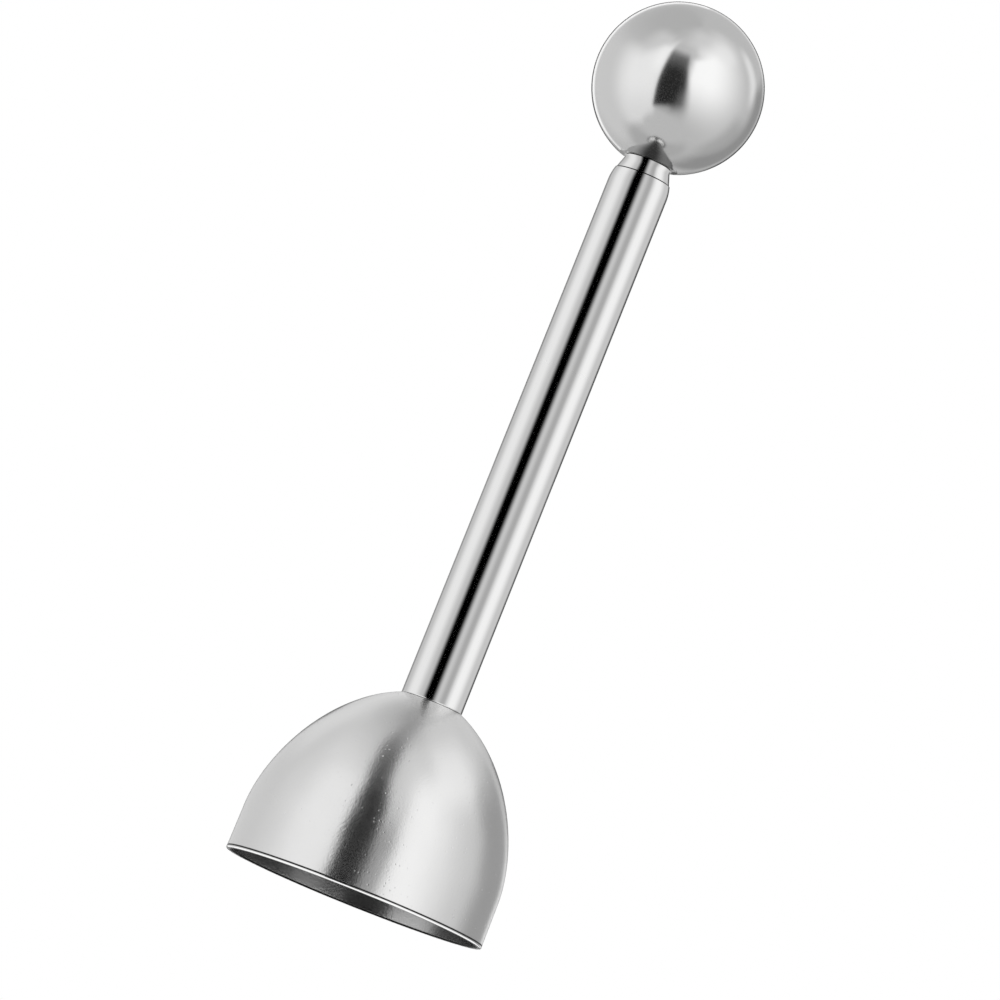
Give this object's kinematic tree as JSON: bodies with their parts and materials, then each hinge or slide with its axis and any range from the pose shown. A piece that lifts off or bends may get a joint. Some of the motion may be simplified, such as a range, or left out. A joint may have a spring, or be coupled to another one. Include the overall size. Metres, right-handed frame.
{
  "type": "egg topper",
  "caption": "Spring-driven egg topper: domed bell with a round cutting rim, straight tube handle, conical collar, and a solid ball that pulls up on a sprung rod and strikes the collar.",
  "frame": {"origin": "centre of the bell's rim, on the plane of the rim that rests on the egg or on a table", "axes": "+Z along the tool's axis, from the bell's rim through the tube to the ball; +X and +Y are equal directions across a turned part"},
  "size_m": [0.043, 0.043, 0.1522],
  "materials": {
    "bell_steel": "spun stainless steel, polished with fine pits and hairline marks",
    "tube_steel": "drawn stainless tube, polished along its length",
    "turned_steel": "lathe-turned stainless with fine rings",
    "mirror_steel": "mirror-polished steel ball",
    "rod_steel": "ground and polished bar, threaded foot",
    "spring_wire": "drawn spring wire, dull grey with a light film of oil",
    "fastener_steel": "cold-formed stainless fastener, satin"
  },
  "bodies": {
    "handle": {"bell": "bell_steel", "handle_tube": "tube_steel", "guide_plug": "turned_steel", "lower_plug": "turned_steel", "bell_screw": "fastener_steel", "screw_spring_washer": "spring_wire", "screw_flat_washer": "fastener_steel", "striker_spring": "spring_wire"},
    "spring_seat": {"lower_spring_washer": "fastener_steel"},
    "striker": {"pull_rod": "rod_steel", "stop_nut": "fastener_steel", "lock_nut": "fastener_steel", "ball_weight": "mirror_steel"}
  },
  "joints": [
    {"name": "ball_pull", "type": "slide", "parent": "handle", "child": "spring_seat", "axis": [0, 0, 1], "range_m": [0, 0.022], "stiffness_N_per_m": 1065, "springref_m": -0.008, "deforming": ["striker_spring"]},
    {"name": "ball_turn", "type": "hinge", "parent": "spring_seat", "child": "striker", "pos_m": [0, 0, 0.1384], "axis": [0, 0, 1], "continuous": true}
  ]
}
